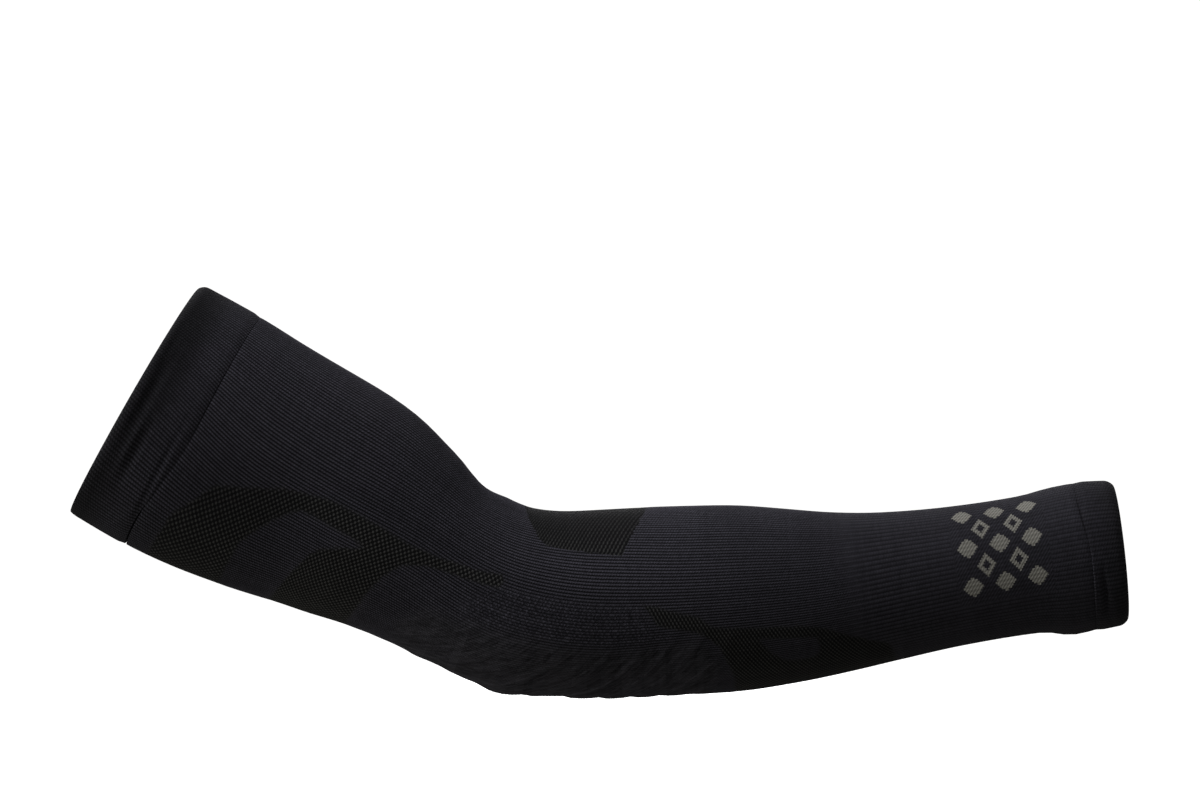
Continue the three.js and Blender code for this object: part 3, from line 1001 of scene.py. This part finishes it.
# The tube's cloth. Ribs run everywhere except in the nets, and fade over the elbow's point. How far a
# place lies inside each zone comes from the mesh, and a zone's edge strays from stitch to stitch.
def makeTubeCloth():
    finish, looks, netting, elbow = knitFinish, tubeLooks, netLooks, elbowCloth
    material, tree, shader, threads = clothMaterial("ribbed_knit")
    single = knitRibs(tree, threads, ribs["count"])
    double = knitRibs(tree, threads, ribs["count"] / 2)
    share, turn = addNode(tree, "SeparateXYZ", threads).outputs[:2]
    along = times(share, armForm["length"])
    forward = wave(turn)

    def zoneMask(name):
        return rampNode(calc("ADD", meshField(tree, name), ragged), *looks["edges"][name])

    # a net's knots and its light, from the nets' table
    def netKnots(title, place=along):
        cell, slant, lean, hole, knot = nets[title]
        knots = useGroup(tree, net, Rib=single["Rib"], Along=place, Cell=cell, Slant=slant, Lean=lean)["Knot"]
        return knots, timesPlus(knots, knot - hole, hole)

    ragged = times(calc("SUBTRACT", single["Shade"], 0.5), looks["ragged"])
    meshMask, patchMask, fineMask = (zoneMask(name) for name in ("meshZone", "patchZone", "fineZone"))
    backMask = rampNode(meshField(tree, "backZone"), -elbow["edge"], elbow["edge"])

    # ribs, which run together in pairs and close up down the forearm
    broad, middle = ribs["pairShape"]
    paired = rampNode(share, *ribs["pairing"])
    pairCrest = times(calc("POWER", double["Crest"], broad), timesPlus(single["Crest"], -middle, 1.0))
    crest = blend(paired, single["Crest"], pairCrest)
    loop = blend(paired, single["Loop"], double["Loop"])
    shade = blend(paired, single["Shade"], double["Shade"])
    opened = timesPlus(rampNode(share, *ribs["closing"]), ribs["closedDepth"] - 1, 1.0)
    light = blend(opened, looks["closedLight"], ribLight(crest, loop))

    # the fine net beside the elbow
    jitter = addNode(tree, "TexNoise", addNode(tree, "TexCoord").outputs["Object"], None, *looks["fineNoise"])
    uneven = timesPlus(jitter.outputs["Fac"], looks["fineJitter"], along)
    fineLight = blend(looks["fineShare"], netKnots("fine", uneven)[1], light)
    light = blend(fineMask, light, fineLight)
    shade = blend(fineMask, shade, timesPlus(shade, *looks["fineShades"]))

    # the elbow's point
    ridgeTurn = timesPlus(single["Rib"], elbow["ridgeTurns"], calc("DIVIDE", along, elbow["ridgeLength"]))
    fineRidges = timesPlus(wave(ridgeTurn), elbow["ridgeLight"], elbow["plainLight"])
    # a painted highlight on the large ridges' crests
    ridgeCrest = calc("POWER", meshField(tree, "ridgeLift"), 2.0)
    backLight = timesPlus(ridgeCrest, elbow["ridgeCrestHighlight"], timesPlus(light, elbow["ribLight"], fineRidges))
    light = blend(backMask, light, backLight)
    slantThreads = addNode(tree, "CombineXYZ", share, timesPlus(share, elbow["streakSlant"], turn)).outputs[0]
    streaks = useGroup(
        tree, stitches, Threads=slantThreads, Ribs=elbow["streaks"], Stitch=elbow["streakLength"], Vee=0.0
    )["Shade"]
    mottled = timesPlus(streaks, elbow["streakShade"], calc("SUBTRACT", shade, elbow["shadeLess"]))
    shade = blend(backMask, shade, mottled)

    for starts, ends, roundArm, more in looks["paler"]:
        lengthwise = calc("SUBTRACT", rampNode(share, *starts), rampNode(share, *ends))
        light = scaledBy(light, times(lengthwise, rampNode(forward, *roundArm)), more)

    # the openwork, and the ribs beside its upper end
    beside = rampNode(meshField(tree, "meshZone"), *netting["besideReach"])
    beside = times(beside, rampNode(share, *netting["besideEnds"]))
    light = scaledBy(light, beside, -netting["besideLess"])
    onForearm = calc("GREATER_THAN", share, netting["forearmFrom"])
    upperKnots, upperLight = netKnots("upper")
    upperTone = blend(rampNode(share, *netting["upperEnds"]), *netting["upperTones"])
    under = rampNode(forward, *netting["underRound"])
    upperLight = times(upperLight, scaledBy(upperTone, under, netting["underLight"]))
    foreKnots, foreLight = netKnots("forearm")
    foreTone = blend(rampNode(share, *netting["forearmEnds"]), *netting["forearmTones"])
    light = blend(meshMask, light, blend(onForearm, upperLight, times(foreLight, foreTone)))
    patchKnots, patchLight = netKnots("inner elbow")
    patchLight = scaledBy(patchLight, rampNode(forward, *netting["veryFrontRound"]), -netting["veryFrontLess"])
    light = blend(patchMask, light, patchLight)
    neutral = calc("MAXIMUM", calc("MAXIMUM", meshMask, patchMask), times(backMask, elbow["neutral"]))

    relief = times(loop, finish["bump"])
    relief = blend(backMask, relief, times(relief, elbow["bumpLeft"]))
    relief = blend(meshMask, relief, times(blend(onForearm, upperKnots, foreKnots), finish["netBump"]))
    relief = blend(patchMask, relief, times(patchKnots, finish["netBump"] / 2))

    inField, onLozenge, twill = makeGreyField(tree, threads)
    greyColour = blendColour(twill, greyField["deep"], greyField["colour"])
    light = blend(inField, light, blend(twill, *greyField["between"]))
    relief = blend(inField, relief, times(twill, finish["bump"]))

    def withGrey(colour):
        return blendColour(onLozenge, colour, greyColour)

    finishCloth(tree, shader, light, shade, neutral, relief, colourOver=withGrey)
    return material


# The bands: how many ribs each has, how clear they are, and its light at the seam and at the free
# edge, darker there by painted shade where the lip rounds in. Places across a band are shares of its length,
# from the seam.
bandLooks = {
    "upper": {"ribs": 200, "clear": 0.9, "paintedShadeToEdge": (0.90, 0.34)},
    "wrist": {"ribs": 100, "clear": 0.45, "paintedShadeToEdge": (0.64, 0.48)},
    "plainLight": 0.41,
    "outward": (0.3, 0.85),
    "neutral": 0.3,  # at the free edge
    "dullFrom": (0.25, 0.65),
    "dullLess": 0.42,  # how much darker the upper band is where it is dullest
}


# The bands' cloth: ribs, which turn darker by painted shade and lose some of their blue towards the free
# edge, with a dull area on the upper band and a dotted bead along the wrist's seam, lit by a painted
# highlight.
def makeBandCloth(name, side):
    looks, band = bandLooks, bandLooks[side]
    material, tree, shader, threads = clothMaterial(name)
    knitted = knitRibs(tree, threads, band["ribs"])
    light = blend(band["clear"], looks["plainLight"], ribLight(knitted["Crest"], knitted["Loop"]))
    fromSeam = calc("DIVIDE", meshField(tree, "fromSeam"), seams[side + "Side"])
    outward = rampNode(fromSeam, *looks["outward"])
    # painted shade: darker towards the free edge, where the lip rounds in
    light = times(light, blend(outward, *band["paintedShadeToEdge"]))
    duller = times(rampNode(fromSeam, *looks["dullFrom"]), calc("MAXIMUM", meshField(tree, "duller"), 0.0))
    light = scaledBy(light, duller, -looks["dullLess"])
    # a painted highlight on the bead, dotted by the ribs
    dots = wave(times(knitted["Rib"], seamBead["dots"]))
    bead = times(calc("MAXIMUM", meshField(tree, "bead"), 0.0), dots)
    light = timesPlus(bead, seamBead["light"], light)
    relief = times(knitted["Loop"], knitFinish["bump"])
    finishCloth(tree, shader, light, knitted["Shade"], times(outward, looks["neutral"]), relief)
    return material


sleeveKnit.data.materials.append(makeTubeCloth())
upperWelt.data.materials.append(makeBandCloth("upper_welt_knit", "upper"))
wristWelt.data.materials.append(makeBandCloth("wrist_welt_knit", "wrist"))

print("stage, light and camera")

view = {
    "lens": 200,  # millimetres
    "sensor": 36,
    "distance": 2.733,
    "aim": (0.1903, 0.0, -0.0009),
    "farthest": 50,
}

camera = bpy.data.cameras.new("camera")
camera.lens = view["lens"]
camera.sensor_width = view["sensor"]
camera.clip_end = view["farthest"]
cameraObject = addObject("camera", camera)
cameraObject.location = (view["aim"][0], view["aim"][1] - view["distance"], view["aim"][2])
cameraObject.rotation_euler = (math.pi / 2, 0, 0)
bpy.context.scene.camera = cameraObject

backdrop = {
    "floor": -0.180,
    "near": -7.0,
    "back": 6.0,
    "wide": 7.0,  # to each side
    "radius": 0.8,
    "arcSteps": 16,
    "height": 3.0,
    "allOver": {
        "Base Color": (0.8, 0.8, 0.8, 1),
        "Roughness": 0.9,
        "Emission Color": (1, 1, 1, 1),
        "Emission Strength": 0.9,
    },
}


# The floor runs level and then sweeps up behind in a quarter circle.
def makeSweep():
    radius, near, back, wide = (backdrop[size] for size in ("radius", "near", "back", "wide"))
    arc = np.linspace(0, np.pi / 2, backdrop["arcSteps"] + 1)
    run = np.concatenate([[near], back + radius * np.sin(arc), [back + radius]])
    rise = np.concatenate([[0], radius * (1 - np.cos(arc)), [backdrop["height"]]]) + backdrop["floor"]
    x, y = np.meshgrid([-wide, wide], run)
    grid = np.stack([x, y, np.repeat(rise[:, None], 2, 1)], -1)
    row = np.arange(len(run) - 1) * 2
    faces = np.stack([row, row + 1, row + 3, row + 2], -1)
    mesh = bpy.data.meshes.new("sweep")
    mesh.from_pydata(grid.reshape(-1, 3).tolist(), [], faces.tolist())
    mesh.polygons.foreach_set("use_smooth", np.ones(len(faces), bool))
    return addObject("sweep", mesh)


sweep = makeSweep()
sweep.data.materials.append(plainMaterial("pale_sweep", backdrop["allOver"])[0])
sweep.visible_diffuse = False
sweep.visible_glossy = False
sweep.visible_shadow = False

# Soft boxes all round, all aimed at the sleeve's middle: place, size, watts and tint of each. What
# comes from above is a little cooler than what the floor and the walls give back.
studio = {
    "sky": 0.195,
    "skyTint": (1.0, 0.98, 0.90),
    "aim": (0.19, 0.0, -0.04),
    "boxes": {
        "top": ((0.05, 0.10, 1.4), (1.5, 1.1), 7.2, (0.97, 0.97, 1.0)),
        "top_front": ((0.0, -0.8, 1.2), (1.2, 0.8), 7.4, (0.97, 0.97, 1.0)),
        "left_back": ((-1.2, 0.7, 0.9), (1.0, 1.0), 24.0, (0.97, 0.97, 1.0)),
        "left_high": ((-1.0, -0.5, 1.0), (1.0, 1.0), 13.5, (0.97, 0.97, 1.0)),
        "left_low": ((-1.4, -0.2, -0.6), (1.0, 0.8), 7.5, (1.0, 0.97, 0.90)),
        "back": ((0.2, 1.4, 0.5), (1.2, 1.0), 11.0, (0.97, 0.97, 1.0)),
    },
}

world = bpy.data.worlds.new("studio")
world.use_nodes = True
world.node_tree.nodes["Background"].inputs["Color"].default_value = (*studio["skyTint"], 1)
world.node_tree.nodes["Background"].inputs["Strength"].default_value = studio["sky"]
bpy.context.scene.world = world

for title, (place, size, watts, tint) in studio["boxes"].items():
    softBox = bpy.data.lights.new("soft_box_" + title, "AREA")
    softBox.shape = "RECTANGLE"
    softBox.size, softBox.size_y = size
    softBox.energy = watts
    softBox.color = tint
    boxObject = addObject(softBox.name, softBox)
    boxObject.location = place
    towards = mathutils.Vector(studio["aim"]) - mathutils.Vector(place)
    boxObject.rotation_euler = towards.to_track_quat("-Z", "Y").to_euler()
    boxObject.visible_camera = False
bpy.context.scene.view_settings.view_transform = "Standard"
